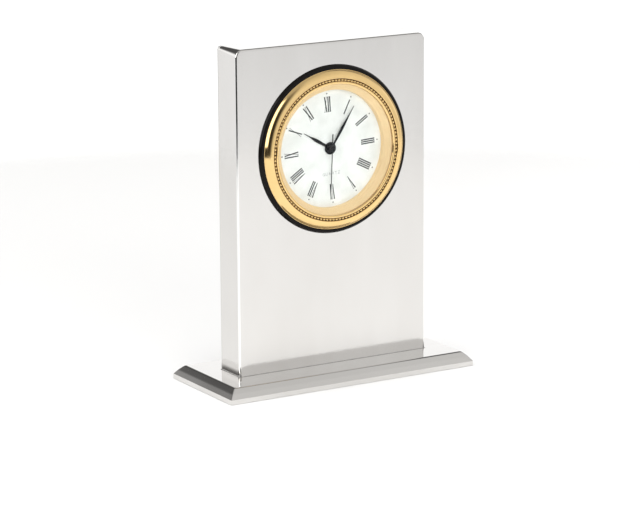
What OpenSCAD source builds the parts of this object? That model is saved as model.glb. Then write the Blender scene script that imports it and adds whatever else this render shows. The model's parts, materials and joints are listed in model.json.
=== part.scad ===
// Mantel clock: a slim polished case on a bevelled plinth, holding a press-in
// quartz insert with a gilt beaded bezel.
// Millimetres, +Z up, front face towards -Y, origin at the centre of the base's underside.

/* [Case] */
// Width of the upright case
body_w = 83.5; // [80:0.5:90]
// Depth of the upright case, front face to back face
body_d = 14.6; // [14.6:0.1:18]
// Height of the whole clock from the shelf to the top of the case
clock_h = 130.6; // [127:0.2:140]
// Height of the dial's centre above the shelf
ring_z = 89.3; // [86:0.1:91]
// Thickness of the case's sheet metal
case_t = 1.0; // [0.8:0.1:1.0]
// Radius of the case's two upper corners, seen from the front
corner_r = 2.5; // [1.5:0.1:4]

/* [Base] */
// Width of the base at its lower lip
base_w = 108.5; // [100:0.5:120]
// Depth of the base at its lower lip
base_d = 46; // [40:0.5:60]
// Height of the base
base_h = 5.5; // [5.5:0.1:8]
// Height of the upright lip under the bevel
lip_h = 1.9; // [1:0.1:2.5]
// Horizontal run of the bevel
bevel_run = 3.3; // [2:0.1:5]
// Thickness of the base shell's metal
base_t = 1.0; // [0.8:0.1:1.2]
// Distance of each clamp screw from the middle
screw_x = 28; // [15:1:32]

/* [Insert] */
// Outer radius of the black flange that rests on the front face
flange_r = 32.6; // [31.6:0.1:33.5]
// Outer radius of the gilt bezel
bezel_r = 30.7; // [30:0.1:31]
// Radius of the dial that shows inside the bezel's cone
dial_r = 22.8; // [21.5:0.1:23.5]
// Depth of the dial below the front face
dial_in = 2.1; // [1.5:0.1:2.1]
// Radius of the opening in the back plate
back_open_r = 27.5; // [27.5:0.1:28]

/* [Time shown] */
// Minutes past twelve shown by the hands at rest
time_shown = 605.5; // [0:0.5:719.5]
// How far the hour hand was pressed on away from its exact place, in degrees
hour_set = -2.5; // [-5:0.5:5]
// How far the seconds hand stands past its exact place, in degrees
second_set = 2.5; // [-3:0.5:3]

/* [Hidden] */

$fn = 96;
fy = -body_d / 2;          // front face

// insert, measured along the dial's axis, + is towards the reader:
// in insert_frame 0 is the front face, and in works_frame 0 is the dial's face
cup_r = 29.0;
cup_in = 27.7;
cup_back = -12.4;
cup_floor = -11.2;
neck_r = 27.0;
shoulder = 13.4;
hole_r = 30.05;

// movement outline
mv_x = 19.2;
mv_y0 = -20;
mv_y1 = 13.5;
mv_r = 6;
posts = [[-15, 10], [15, 10], [12, -16], [-12, -16]];
pillars = [[0, 11], [14.5, -7], [-14.5, -8.5]];

// going train: modules and tooth counts
m_rotor = 0.14;  // rotor pinion 12 -> step wheel 60
m_step = 0.18;   // step pinion 10 -> seconds wheel 60
m_sec = 0.18;    // seconds pinion 8 -> third wheel 60
m_third = 0.17;  // third pinion 8 -> centre wheel 64
m_cannon = 0.28; // cannon pinion 12 -> motion wheel 36
m_hour = 0.2688; // motion pinion 10 -> hour wheel 40
third_p = [0, m_sec * 34];
step_p = [-m_step * 35, 0];
rotor_p = [step_p[0] - m_rotor * 36, 0];
motion_p = [m_cannon * 24, 0];
cell_p = [0, -13];
cell_r = 5.8;

function inv(a) = tan(a) * 180 / PI - a;
// half the angle of a tooth at radius q
function half_at(n, m, bl, q) =
  let (r = n * m / 2, rb = r * cos(20), h = (PI * m / 2 - bl) / 2 / r * 180 / PI + inv(20))
  q <= rb ? h : h - inv(acos(rb / q));
function gear_pts(n, m, bl, add) =
  let (r = n * m / 2, rb = r * cos(20), rf = r - 1.25 * m, ra = r + add * m,
       q = [rf, max(rb, rf + 0.3 * m), max(r, rf + 0.6 * m), ra])
  [for (i = [0:n - 1]) for (k = [0:7])
    let (j = k < 4 ? k : 7 - k, s = k < 4 ? -1 : 1, a = 360 * i / n + s * half_at(n, m, bl, q[j]))
    q[j] * [cos(a), sin(a)]];

// a spur gear from z0 to z1 with tooth 0 centred at angle ph
module gear(n, m, z0, z1, ph = 0, bl = 0.03, add = 0.9) {
  translate([0, 0, z0]) rotate([0, 0, ph]) linear_extrude(z1 - z0) polygon(gear_pts(n, m, bl, add));
}

module rod(r, z0, z1) { translate([0, 0, z0]) cylinder(r = r, h = z1 - z0); }
module at(p) { translate([p[0], p[1], 0]) children(); }

// frame of the insert: x right, y up, z out of the front face
module insert_frame() { translate([0, fy, ring_z]) rotate([90, 0, 0]) children(); }
module works_frame() { insert_frame() translate([0, 0, -dial_in]) children(); }

// arbor with a fine pivot at each end, running in the train plate and the rear cover
module train_arbor() {
  rod(0.35, -8.5, -4.08);
  rod(0.2, -9.1, -3.6);
}

// ---------- case ----------

// outline of the case seen from the front, drawn in by s, open below when low is set
module case_outline(s = 0, low = 0) {
  w = body_w / 2 - s;
  top = clock_h - s;
  r = corner_r - s;
  z0 = base_h - low;
  translate([-w, z0]) square([2 * w, top - r - z0]);
  translate([-w + r, z0]) square([2 * (w - r), top - z0]);
  for (i = [-1, 1]) translate([i * (w - r), top - r]) circle(r = r);
}

// plate standing upright, its front at y0
module upright(y0, t) { translate([0, y0 + t, 0]) rotate([90, 0, 0]) linear_extrude(t) children(); }

module front_plate() {
  color([0.86, 0.86, 0.86])
    upright(fy, case_t) difference() {
      case_outline();
      translate([0, ring_z]) circle(r = hole_r);
    }
}

module case_band() {
  color([0.84, 0.84, 0.85])
    upright(fy + case_t, body_d - 2 * case_t) difference() {
      case_outline();
      case_outline(case_t, 5);
    }
}

module back_plate() {
  color([0.85, 0.85, 0.86])
    upright(-fy - case_t, case_t) difference() {
      case_outline();
      translate([0, ring_z]) circle(r = back_open_r);
    }
}

// plate that closes the case's lower end, with two tapped bosses
module case_floor() {
  color([0.72, 0.72, 0.73])
    difference() {
      union() {
        translate([-body_w / 2 + case_t, fy + case_t, base_h])
          cube([body_w - 2 * case_t, body_d - 2 * case_t, 1.2]);
        for (i = [-1, 1]) translate([i * screw_x, 0, 0]) rod(3, base_h, base_h + 7);
      }
      for (i = [-1, 1]) translate([i * screw_x, 0, 0]) rod(1.5, base_h - 1, base_h + 8);
    }
}

// ---------- base ----------

// half profile of the plinth, drawn in by s from a half width hw
function plinth_half(hw, s) =
  let (rise = base_h - lip_h, l = norm([rise, bevel_run]), nx = rise / l, nz = bevel_run / l)
  [[hw - s, lip_h - s * (1 - nx) / nz], [hw - bevel_run - s * (1 - nz) / nx, base_h - s]];
module plinth_section(w, s, z0) {
  p = plinth_half(w / 2, s);
  polygon([[-p[0][0], z0], [p[0][0], z0], p[0], p[1], [-p[1][0], p[1][1]], [-p[0][0], p[0][1]]]);
}
// the plinth's solid: two crossed sections, which mitre its four bevels
module plinth(s, z0) {
  intersection() {
    rotate([90, 0, 0]) translate([0, 0, -base_d]) linear_extrude(2 * base_d) plinth_section(base_w, s, z0);
    rotate([90, 0, 90]) translate([0, 0, -base_w]) linear_extrude(2 * base_w) plinth_section(base_d, s, z0);
  }
}

module base_shell() {
  color([0.80, 0.80, 0.80])
    difference() {
      plinth(0, 0);
      plinth(base_t, -1);
      for (i = [-1, 1]) translate([i * screw_x, 0, 0]) rod(1.7, 1, base_h + 1);
    }
}

module base_weight() {
  color([0.45, 0.46, 0.48])
    difference() {
      intersection() {
        plinth(base_t + 0.1, 0.8);
        translate([-base_w, -base_d, 0.8]) cube([2 * base_w, 2 * base_d, base_h]);
      }
      for (i = [-1, 1]) translate([i * screw_x, 0, 0]) {
        rod(1.7, 0, base_h);
        rod(3.3, 0, 3.1);
      }
    }
}

module base_felt() {
  color([0.10, 0.10, 0.11])
    translate([-base_w / 2 + base_t + 0.15, -base_d / 2 + base_t + 0.15, 0])
      cube([base_w - 2 * base_t - 0.3, base_d - 2 * base_t - 0.3, 0.8]);
}

module base_screws() {
  color([0.60, 0.60, 0.62])
    for (i = [-1, 1]) translate([i * screw_x, 0, 0]) difference() {
      union() {
        rod(2.7, 1.2, 2.7);
        rod(1.45, 2.6, base_h + 6);
      }
      translate([-3, -0.35, 1.1]) cube([6, 0.7, 0.8]);
    }
}

module base_washers() {
  color([0.70, 0.70, 0.72])
    for (i = [-1, 1]) translate([i * screw_x, 0, 0]) difference() {
      rod(3.1, 2.7, 3.1);
      rod(1.6, 2, 4);
    }
}

// ---------- insert ----------

module insert_cup() {
  color([0.05, 0.05, 0.05])
    insert_frame() difference() {
      union() {
        rotate_extrude() {
          // flange with a rounded rim
          translate([cup_in, 0]) square([flange_r - 0.9 - cup_in, 1.2]);
          intersection() {
            translate([flange_r - 0.9, 0.3]) circle(r = 0.9);
            translate([flange_r - 0.95, 0]) square([2, 1.2]);
          }
          // wall, dial ledge, shoulder and the narrower back that stands in the rear opening
          translate([cup_in, -shoulder]) square([cup_r - cup_in, shoulder + 0.1]);
          translate([26.2, -2 - dial_in]) square([cup_in - 26.1, 1.6]);
          translate([neck_r - 0.5, -shoulder]) square([cup_r - neck_r + 0.5, 1.2]);
          translate([0, cup_back - dial_in]) square([neck_r, cup_floor - cup_back]);
        }
        translate([0, 0, -dial_in]) for (p = pillars) at(p) rod(1.4, cup_floor - 0.1, -9.4);
      }
      translate([0, 0, -dial_in]) {
        // cell opening with two bayonet notches
        at(cell_p) rod(7.1, cup_back - 1, cup_floor + 1);
        at(cell_p) for (a = [135, 315]) rotate([0, 0, a]) intersection() {
          rod(8.4, cup_back - 1, cup_floor + 1);
          translate([0, -2.2, -20]) cube([10, 4.4, 30]);
        }
        at(motion_p) rod(0.75, cup_back - 1, cup_floor + 1);
      }
    }
}

module grip_band() {
  color([0.12, 0.12, 0.12])
    insert_frame() rotate_extrude() {
      translate([cup_r, -6]) square([0.6, 5.95]);
      for (i = [0:4]) translate([cup_r, -6 + i * 1.25]) square([1, 0.7]);
    }
}

module bezel() {
  color([0.90, 0.72, 0.32])
    insert_frame() rotate_extrude() {
      polygon(concat(
        [[25.3, 2.7], [26.4, 2.7], [26.4, 0.02], [27.6, 0.02], [27.6, 1.2], [bezel_r, 1.2]],
        [for (a = [0:10:90]) [27.5 + (bezel_r - 27.5) * cos(a), 1.9 + 1.1 * sin(a)]],
        [[25.6, 2.95]]));
      translate([26.8, 2.8]) circle(r = 0.5);
    }
}

module crystal() {
  color([0.80, 0.90, 0.95, 0.3])
    insert_frame() rod(26.3, 1.9, 2.7);
}

module reflector_ring() {
  color([0.88, 0.70, 0.32])
    insert_frame() rotate_extrude()
      polygon([[dial_r, -dial_in], [26.3, -dial_in], [26.3, 1.9], [25.2, 1.9], [dial_r, 0.2]]);
}

module dial() {
  color([0.95, 0.95, 0.94])
    works_frame() difference() {
      rod(27.5, -0.4, 0);
      rod(1.45, -1, 1);
    }
}

// ---------- movement: fixed pieces ----------

module mv_outline(s = 0) {
  r = mv_r - s;
  for (x = [-mv_x + mv_r, mv_x - mv_r]) for (y = [mv_y0 + mv_r, mv_y1 - mv_r]) translate([x, y]) circle(r = r);
  translate([-mv_x + s, mv_y0 + mv_r]) square([2 * (mv_x - s), mv_y1 - mv_y0 - 2 * mv_r]);
  translate([-mv_x + mv_r, mv_y0 + s]) square([2 * (mv_x - mv_r), mv_y1 - mv_y0 - 2 * s]);
}

module movement_case() {
  color([0.16, 0.17, 0.18])
    works_frame() difference() {
      union() {
        translate([0, 0, -8.6]) linear_extrude(8.2) difference() {
          mv_outline();
          mv_outline(1);
        }
        translate([0, 0, -1.2]) linear_extrude(0.8) mv_outline(0.5);
        for (p = posts) at(p) rod(1.8, -8.6, -1.1);
      }
      rod(1.3, -2, 1);
      at(motion_p) rod(0.45, -2, -0.8);
      for (p = posts) at(p) rod(0.7, -9, -3);
    }
}

// middle plate that carries the front pivots of the train
module train_plate() {
  color([0.80, 0.78, 0.70])
    works_frame() difference() {
      translate([-12.9, -6.8, -4]) cube([mv_x - 1 + 12.9, mv_y1 - 1 + 6.8, 0.6]);
      translate([mv_x - mv_r, mv_y1 - mv_r, -5]) difference() {
        cube([10, 10, 4]);
        cylinder(r = mv_r - 1, h = 4);
      }
      for (p = posts) at(p) rod(1.9, -5, -2);
      rod(0.8, -5, -2);
      at(motion_p) rod(0.75, -5, -2);
      for (p = [third_p, step_p, rotor_p]) at(p) rod(0.25, -5, -2);
    }
}

module movement_cover() {
  color([0.20, 0.21, 0.22])
    works_frame() difference() {
      translate([0, 0, -9.4]) linear_extrude(0.8) mv_outline();
      at(cell_p) rod(cell_r + 0.3, -10, -8);
      at(motion_p) rod(0.75, -10, -8);
      for (p = [[0, 0], third_p, step_p, rotor_p]) at(p) rod(0.25, -10, -8);
      for (p = posts) at(p) rod(0.8, -10, -8);
    }
}

module movement_screws() {
  color([0.72, 0.72, 0.74])
    works_frame() for (p = posts) at(p) difference() {
      union() {
        rod(1.3, -10.1, -9.4);
        rod(0.65, -9.5, -3.5);
      }
      translate([-2, -0.15, -10.2]) cube([4, 0.3, 0.4]);
    }
}

module stator() {
  color([0.62, 0.62, 0.64])
    works_frame() difference() {
      translate([-16.8, -8, -6.4]) cube([7.8, 16, 0.6]);
      translate([-18, -6.4, -7]) cube([4.8, 12.8, 2]);
      at(rotor_p) rod(1.9, -7, -5);
      // the two saturation notches beside the rotor hole
      for (s = [-1, 1]) at([rotor_p[0], s * 1.9]) rod(0.35, -7, -5);
    }
}

module coil_core() {
  color([0.55, 0.55, 0.58])
    works_frame() translate([-16.6, -8, -5.8]) cube([1.6, 16, 0.6]);
}

module coil_axis() { translate([-15.8, 0, -5.5]) rotate([-90, 0, 0]) children(); }

module coil_bobbin() {
  color([0.90, 0.88, 0.80])
    works_frame() difference() {
      coil_axis() {
        rod(1.2, -6.2, 6.2);
        rod(2.3, -6.2, -5.8);
        rod(2.3, 5.8, 6.2);
      }
      translate([-16.6, -9, -5.8]) cube([1.6, 18, 0.6]);
    }
}

module coil_winding() {
  color([0.72, 0.38, 0.18])
    works_frame() coil_axis() difference() {
      rod(2.1, -5.8, 5.8);
      rod(1.2, -6, 6);
    }
}

module circuit_board() {
  color([0.10, 0.38, 0.20])
    works_frame() difference() {
      translate([8.3, -14, -8]) cube([9.4, 20, 0.6]);
      at([15.5, -9]) rod(0.6, -9, -7);
    }
}

module driver_chip() {
  color([0.07, 0.07, 0.07])
    works_frame() {
      translate([11, -4, -7.4]) cube([3.4, 3.4, 0.7]);
      for (x = [0:3]) for (s = [-4.4, -0.6]) translate([11.3 + x * 0.8, s, -7.4]) cube([0.4, 0.4, 0.3]);
    }
}

module quartz_can() {
  color([0.80, 0.80, 0.82])
    works_frame() translate([10, 4, -6.4]) rotate([0, 90, 0]) {
      rod(1, 0, 6);
      rod(0.8, -0.3, 0.1);
    }
}

module battery() {
  color([0.78, 0.78, 0.80])
    works_frame() at(cell_p) {
      rod(cell_r, -10.9, -6.2);
      rod(cell_r - 0.7, -6.3, -5.5);
    }
}

module contact_plus() {
  color([0.80, 0.68, 0.40])
    works_frame() at(cell_p) intersection() {
      difference() {
        rod(cell_r + 0.25, -8.5, -6.4);
        rod(cell_r, -10, -5);
      }
      rotate([0, 0, -40]) translate([0, 0, -9]) cube([8, 8, 4]);
    }
}

module contact_minus() {
  color([0.80, 0.68, 0.40])
    works_frame() at(cell_p) {
      rod(3, -5.5, -5.25);
      translate([0, -1, -5.5]) cube([12, 2, 0.25]);
      translate([11, -1, -7.4]) cube([1, 2, 2.1]);
    }
}

// ---------- movement: turning pieces ----------

module rotor_magnet() {
  color([0.35, 0.35, 0.38])
    works_frame() at(rotor_p) difference() {
      rod(1.5, -6.9, -5.2);
      rod(0.35, -8, -4);
    }
}

module rotor_pinion() {
  color([0.85, 0.85, 0.80])
    works_frame() at(rotor_p) {
      gear(12, m_rotor, -8.1, -7.2, 180 / 12);
      train_arbor();
    }
}

module step_wheel() {
  color([0.92, 0.92, 0.88])
    works_frame() at(step_p) {
      gear(60, m_rotor, -7.9, -7.4, 180);
      gear(10, m_step, -7.2, -6.2, 180 + 180 / 10);
      rod(0.7, -7.5, -7.1);
      train_arbor();
    }
}

module seconds_wheel() {
  color([0.88, 0.74, 0.42])
    works_frame() {
      gear(60, m_step, -6.9, -6.4, 180);
      gear(8, m_sec, -6.5, -5.25, 90);
      rod(0.3, -8.5, 2.15);
      rod(0.2, -9.1, -8.4);
    }
}

module third_wheel() {
  color([0.92, 0.92, 0.88])
    works_frame() at(third_p) {
      gear(60, m_sec, -5.9, -5.4, 270 + 180 / 60);
      gear(8, m_third, -5.5, -4.2, 270 + 180 / 8);
      train_arbor();
    }
}

module centre_wheel() {
  color([0.86, 0.70, 0.38])
    works_frame() difference() {
      gear(64, m_third, -4.9, -4.4, 90);
      rod(0.8, -6, -4);
    }
}

// dished washer that presses the centre wheel against the cannon pinion's collar
module clutch_spring() {
  color([0.70, 0.72, 0.75])
    works_frame() difference() {
      rod(1.7, -5.1, -4.95);
      rod(0.75, -6, -4);
    }
}

module cannon_pinion() {
  color([0.88, 0.74, 0.42])
    works_frame() difference() {
      union() {
        gear(12, m_cannon, -3.1, -2.35, 0);
        rod(0.75, -5.1, 1.4);
        rod(1.4, -4.35, -4.05);
      }
      rod(0.35, -6, 2);
    }
}

module motion_wheel() {
  color([0.92, 0.92, 0.88])
    works_frame() at(motion_p) {
      gear(36, m_cannon, -3.0, -2.5, 180 + 180 / 36);
      gear(10, m_hour, -2.6, -1.4, 180);
      rod(0.7, -13.9, -2.9);
      rod(0.4, -1.5, -0.85);
    }
}

module set_knob() {
  color([0.85, 0.85, 0.84])
    works_frame() at(motion_p) difference() {
      union() {
        rod(3.3, -14.3, -12.75);
        rod(1.6, -12.8, -12.5);
      }
      rod(0.7, -13.9, -12);
      for (i = [0:17]) rotate([0, 0, i * 20]) translate([3.5, 0, 0]) rod(0.35, -15, -12);
    }
}

module hour_wheel() {
  color([0.88, 0.74, 0.42])
    works_frame() difference() {
      union() {
        gear(40, m_hour, -2.1, -1.5, 180 / 40);
        rod(1.25, -2.1, 0.5);
      }
      rod(0.8, -3, 1);
    }
}

hour_a = time_shown / 2 + hour_set;
minute_a = (time_shown * 6) % 360;
second_a = (time_shown % 1) * 360 + second_set;

// lance-shaped blade: pairs of [distance from the centre, half width]
module blade(pts, z0, z1) {
  n = len(pts);
  translate([0, 0, z0]) linear_extrude(z1 - z0) polygon(concat(
    [for (i = [0:n - 1]) [pts[i][1], pts[i][0]]],
    [for (i = [n - 1:-1:0]) [-pts[i][1], pts[i][0]]]));
}

module hour_hand() {
  color([0.04, 0.04, 0.04])
    works_frame() rotate([0, 0, -hour_a]) difference() {
      union() {
        rod(2.4, 0.15, 0.6);
        blade([[1.5, 0.5], [4, 0.52], [6, 0.62], [7.6, 0.6], [9.2, 0.36], [10.2, 0.2], [13.4, 0.1]], 0.3, 0.45);
      }
      rod(1.25, -1, 2);
    }
}

module minute_hand() {
  color([0.04, 0.04, 0.04])
    works_frame() rotate([0, 0, -minute_a]) difference() {
      union() {
        rod(1.8, 1.0, 1.45);
        blade([[1.2, 0.38], [5, 0.46], [8.4, 0.54], [10.5, 0.5], [13.5, 0.3], [15.5, 0.18], [18.5, 0.12]], 1.1, 1.25);
      }
      rod(0.75, -1, 2);
    }
}

module second_hand() {
  color([0.04, 0.04, 0.04])
    works_frame() rotate([0, 0, -second_a]) difference() {
      union() {
        rod(1.2, 1.65, 2.35);
        blade([[-5.6, 0.24], [-2, 0.2], [2, 0.19], [12, 0.17], [17.3, 0.13]], 1.85, 1.97);
      }
      rod(0.3, 0, 2.15);
    }
}

// cell hatch: turned with a coin until its two lugs meet the notches
module battery_hatch() {
  color([0.08, 0.08, 0.08])
    works_frame() at(cell_p) difference() {
      union() {
        rod(7.0, cup_back, -11.0);
        intersection() {
          rod(8.2, -11.1, -10.85);
          translate([-9, -2, -12]) cube([18, 4, 2]);
        }
      }
      translate([-4.5, -0.6, cup_back - 1]) cube([9, 1.2, 1.6]);
      rod(6.2, -11.2, -10);
    }
}

front_plate();
case_band();
back_plate();
case_floor();
base_shell();
base_weight();
base_felt();
base_screws();
base_washers();
insert_cup();
grip_band();
bezel();
crystal();
reflector_ring();
dial();
movement_case();
train_plate();
movement_cover();
movement_screws();
stator();
coil_core();
coil_bobbin();
coil_winding();
circuit_board();
driver_chip();
quartz_can();
battery();
contact_plus();
contact_minus();
rotor_magnet();
rotor_pinion();
step_wheel();
seconds_wheel();
third_wheel();
centre_wheel();
clutch_spring();
cannon_pinion();
motion_wheel();
set_knob();
hour_wheel();
hour_hand();
minute_hand();
second_hand();
battery_hatch();
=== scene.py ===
# Mantel clock: the visual model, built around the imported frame.
import json
import math

import bmesh
import bpy
from mathutils import Matrix, Vector

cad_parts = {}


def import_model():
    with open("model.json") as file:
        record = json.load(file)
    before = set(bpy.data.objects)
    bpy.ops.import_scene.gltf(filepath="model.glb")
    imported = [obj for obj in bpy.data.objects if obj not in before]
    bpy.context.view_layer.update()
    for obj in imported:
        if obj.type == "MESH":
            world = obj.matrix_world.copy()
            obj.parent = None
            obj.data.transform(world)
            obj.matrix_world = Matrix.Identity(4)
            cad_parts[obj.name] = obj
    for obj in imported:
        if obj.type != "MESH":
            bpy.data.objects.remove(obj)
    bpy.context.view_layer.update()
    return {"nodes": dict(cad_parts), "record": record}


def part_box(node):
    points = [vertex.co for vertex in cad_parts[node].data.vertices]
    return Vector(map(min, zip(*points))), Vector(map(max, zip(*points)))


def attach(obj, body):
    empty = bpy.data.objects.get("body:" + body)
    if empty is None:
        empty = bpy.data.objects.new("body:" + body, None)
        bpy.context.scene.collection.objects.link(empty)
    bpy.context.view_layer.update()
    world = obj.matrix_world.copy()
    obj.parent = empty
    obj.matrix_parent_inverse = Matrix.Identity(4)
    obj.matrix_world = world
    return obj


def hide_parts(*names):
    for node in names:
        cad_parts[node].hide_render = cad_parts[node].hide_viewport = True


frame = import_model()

MM = 0.001
PI = math.pi

# ---------------------------------------------------------------- positions, from the frame


def box_mm(node):
    lo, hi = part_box(node)
    return [v / MM for v in lo], [v / MM for v in hi]


_fp_lo, _fp_hi = box_mm("front_plate")
_bp_lo, _bp_hi = box_mm("back_plate")
_bs_lo, _bs_hi = box_mm("base_shell")
_dl_lo, _dl_hi = box_mm("dial")
_cup_lo, _cup_hi = box_mm("insert_cup")
_bz_lo, _bz_hi = box_mm("bezel")

HW = (_fp_hi[0] - _fp_lo[0]) / 2  # half width of the case
FY = _fp_lo[1]  # front face
BY = _bp_hi[1]  # back face
Z0 = _fp_lo[2]  # foot of the case, on the base
ZT = _fp_hi[2]  # top of the case
BHX = (_bs_hi[0] - _bs_lo[0]) / 2  # half width of the base
BHY = (_bs_hi[1] - _bs_lo[1]) / 2  # half depth of the base
BZ = _bs_hi[2]  # top of the base
RZ = (_dl_lo[2] + _dl_hi[2]) / 2  # height of the dial's centre
FLANGE_R = (_cup_hi[0] - _cup_lo[0]) / 2
BEZEL_R = (_bz_hi[0] - _bz_lo[0]) / 2
ROOT = "clock"


def insert_to_world(x, y, z):
    """Insert frame (x right, y up, z out of the front face) to the row frame, in mm."""
    return (x, FY - z, RZ + y)


DIAL_Z = FY - _dl_lo[1]  # the dial's face, measured from the front face


def works_to_world(x, y, z):
    """The same with z measured from the dial's face, for the dial, the hands and what is behind."""
    return insert_to_world(x, y, z + DIAL_Z)


# ---------------------------------------------------------------- materials


def new_material(name):
    m = bpy.data.materials.new(name)
    m.use_nodes = True
    nt = m.node_tree
    nt.nodes.clear()
    out = nt.nodes.new("ShaderNodeOutputMaterial")
    return m, nt, out


def surface(
    name,
    color,
    rough=0.4,
    metallic=0.0,
    var=0.06,
    var_scale=260.0,
    rough_var=0.05,
    rough_scale=420.0,
    bump=0.0,
    bump_scale=1500.0,
    wave=0.0,
    wave_scale=22.0,
    stretch=(1.0, 1.0, 1.0),
    tint=None,
    coat=0.0,
    coat_rough=0.05,
    spec=0.5,
    sheen=0.0,
    aniso=0.0,
    speck=0.0,
):
    """A procedural finish: cloudy colour variation, uneven gloss, fine grain and slow waviness."""
    m, nt, out = new_material(name)
    n, link = nt.nodes, nt.links
    b = n.new("ShaderNodeBsdfPrincipled")
    b.inputs["Metallic"].default_value = metallic
    b.inputs["Coat Weight"].default_value = coat
    b.inputs["Coat Roughness"].default_value = coat_rough
    b.inputs["Specular IOR Level"].default_value = spec
    b.inputs["Sheen Weight"].default_value = sheen
    b.inputs["Anisotropic"].default_value = aniso
    tc = n.new("ShaderNodeTexCoord")
    mp = n.new("ShaderNodeMapping")
    mp.inputs["Scale"].default_value = stretch
    link.new(tc.outputs["Object"], mp.inputs["Vector"])
    # colour
    nz = n.new("ShaderNodeTexNoise")
    nz.inputs["Scale"].default_value = var_scale
    nz.inputs["Detail"].default_value = 5.0
    nz.inputs["Roughness"].default_value = 0.6
    link.new(mp.outputs["Vector"], nz.inputs["Vector"])
    ramp = n.new("ShaderNodeValToRGB")
    t = tint or color
    ramp.color_ramp.elements[0].position = 0.3
    ramp.color_ramp.elements[1].position = 0.7
    ramp.color_ramp.elements[0].color = (*[max(0.0, c * (1 - var)) for c in t], 1)
    ramp.color_ramp.elements[1].color = (*[min(1.0, c * (1 + var)) for c in color], 1)
    link.new(nz.outputs["Fac"], ramp.inputs["Fac"])
    color_out = ramp.outputs["Color"]
    if speck:
        sp = n.new("ShaderNodeTexNoise")
        sp.inputs["Scale"].default_value = bump_scale * 1.3
        sp.inputs["Detail"].default_value = 2.0
        link.new(tc.outputs["Object"], sp.inputs["Vector"])
        sr = n.new("ShaderNodeMapRange")
        sr.inputs["From Min"].default_value = 0.55
        sr.inputs["From Max"].default_value = 0.75
        sr.inputs["To Min"].default_value = 0.0
        sr.inputs["To Max"].default_value = speck
        link.new(sp.outputs["Fac"], sr.inputs["Value"])
        mx = n.new("ShaderNodeMix")
        mx.data_type = "RGBA"
        link.new(sr.outputs["Result"], mx.inputs["Factor"])
        link.new(color_out, mx.inputs["A"])
        mx.inputs["B"].default_value = (*[min(1.0, c * 2.2 + 0.05) for c in color], 1)
        color_out = mx.outputs["Result"]
    link.new(color_out, b.inputs["Base Color"])
    # gloss
    rz = n.new("ShaderNodeTexNoise")
    rz.inputs["Scale"].default_value = rough_scale
    rz.inputs["Detail"].default_value = 4.0
    link.new(mp.outputs["Vector"], rz.inputs["Vector"])
    rr = n.new("ShaderNodeMapRange")
    rr.inputs["From Min"].default_value = 0.25
    rr.inputs["From Max"].default_value = 0.75
    rr.inputs["To Min"].default_value = max(0.01, rough - rough_var)
    rr.inputs["To Max"].default_value = min(1.0, rough + rough_var)
    link.new(rz.outputs["Fac"], rr.inputs["Value"])
    link.new(rr.outputs["Result"], b.inputs["Roughness"])
    # relief
    last = None
    if bump:
        fz = n.new("ShaderNodeTexNoise")
        fz.inputs["Scale"].default_value = bump_scale
        fz.inputs["Detail"].default_value = 3.0
        link.new(mp.outputs["Vector"], fz.inputs["Vector"])
        bp = n.new("ShaderNodeBump")
        bp.inputs["Strength"].default_value = bump
        bp.inputs["Distance"].default_value = 0.00005
        link.new(fz.outputs["Fac"], bp.inputs["Height"])
        last = bp
    if wave:
        wz = n.new("ShaderNodeTexNoise")
        wz.inputs["Scale"].default_value = wave_scale
        wz.inputs["Detail"].default_value = 1.0
        link.new(tc.outputs["Object"], wz.inputs["Vector"])
        wb = n.new("ShaderNodeBump")
        wb.inputs["Strength"].default_value = wave
        wb.inputs["Distance"].default_value = 0.0004
        link.new(wz.outputs["Fac"], wb.inputs["Height"])
        if last:
            link.new(last.outputs["Normal"], wb.inputs["Normal"])
        last = wb
    if last:
        link.new(last.outputs["Normal"], b.inputs["Normal"])
    link.new(b.outputs["BSDF"], out.inputs["Surface"])
    return m


M = {}
M["case_metal"] = surface(
    "polished_nickel", (0.735, 0.722, 0.705), rough=0.11, rough_var=0.025, metallic=1.0, var=0.02,
    var_scale=60, rough_scale=90, bump=0.05, bump_scale=2600, wave=0.10, wave_scale=16,
    stretch=(1, 1, 0.25), tint=(0.725, 0.71, 0.69),
)
M["base_metal"] = surface(
    "polished_nickel_base", (0.735, 0.722, 0.705), rough=0.10, rough_var=0.025, metallic=1.0,
    var=0.02, var_scale=60, rough_scale=90, bump=0.05, bump_scale=2600, wave=0.10, wave_scale=18,
    stretch=(0.25, 1, 1), tint=(0.72, 0.705, 0.685),
)
# a brighter nickel for the upright edge fillets of the case: painted highlight
M["case_edge"] = surface(
    "nickel_edge_painted_highlight", (0.93, 0.925, 0.915), rough=0.10, rough_var=0.02, metallic=1.0, var=0.02,
    var_scale=60, bump=0.04, bump_scale=2600, stretch=(1, 1, 0.25),
)
M["solder"] = surface(
    "solder_line", (0.50, 0.49, 0.48), rough=0.32, metallic=1.0, var=0.2, var_scale=500,
    bump=0.25, bump_scale=900,
)
M["gilt"] = surface(
    "gilt_brass", (0.92, 0.655, 0.30), rough=0.10, rough_var=0.025, metallic=1.0, var=0.03,
    var_scale=120, rough_scale=200, bump=0.04, bump_scale=2200,
    tint=(0.90, 0.63, 0.28),
)
M["gilt_cone"] = surface(
    "gilt_reflector", (0.86, 0.63, 0.35), rough=0.40, rough_var=0.04, metallic=0.35, var=0.03,
    var_scale=150, rough_scale=240, bump=0.05, bump_scale=2400,
    tint=(0.93, 0.70, 0.40),
)
# a dark brown for the seat under the beads: painted shade in the pits between them
M["gilt_recess"] = surface(
    "gilt_recess", (0.10, 0.054, 0.020), rough=0.5, metallic=0.35, var=0.4, var_scale=700,
    bump=0.3, bump_scale=2600,
)
M["insert_black"] = surface(
    "gloss_black_moulding", (0.0045, 0.0038, 0.0032), rough=0.14, rough_var=0.05, var=0.3,
    var_scale=400, rough_scale=300, bump=0.08, bump_scale=2600, spec=0.12,
)
M["movement_plastic"] = surface(
    "movement_moulding", (0.035, 0.037, 0.04), rough=0.42, var=0.15, var_scale=300, bump=0.35,
    bump_scale=3800,
)
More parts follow.
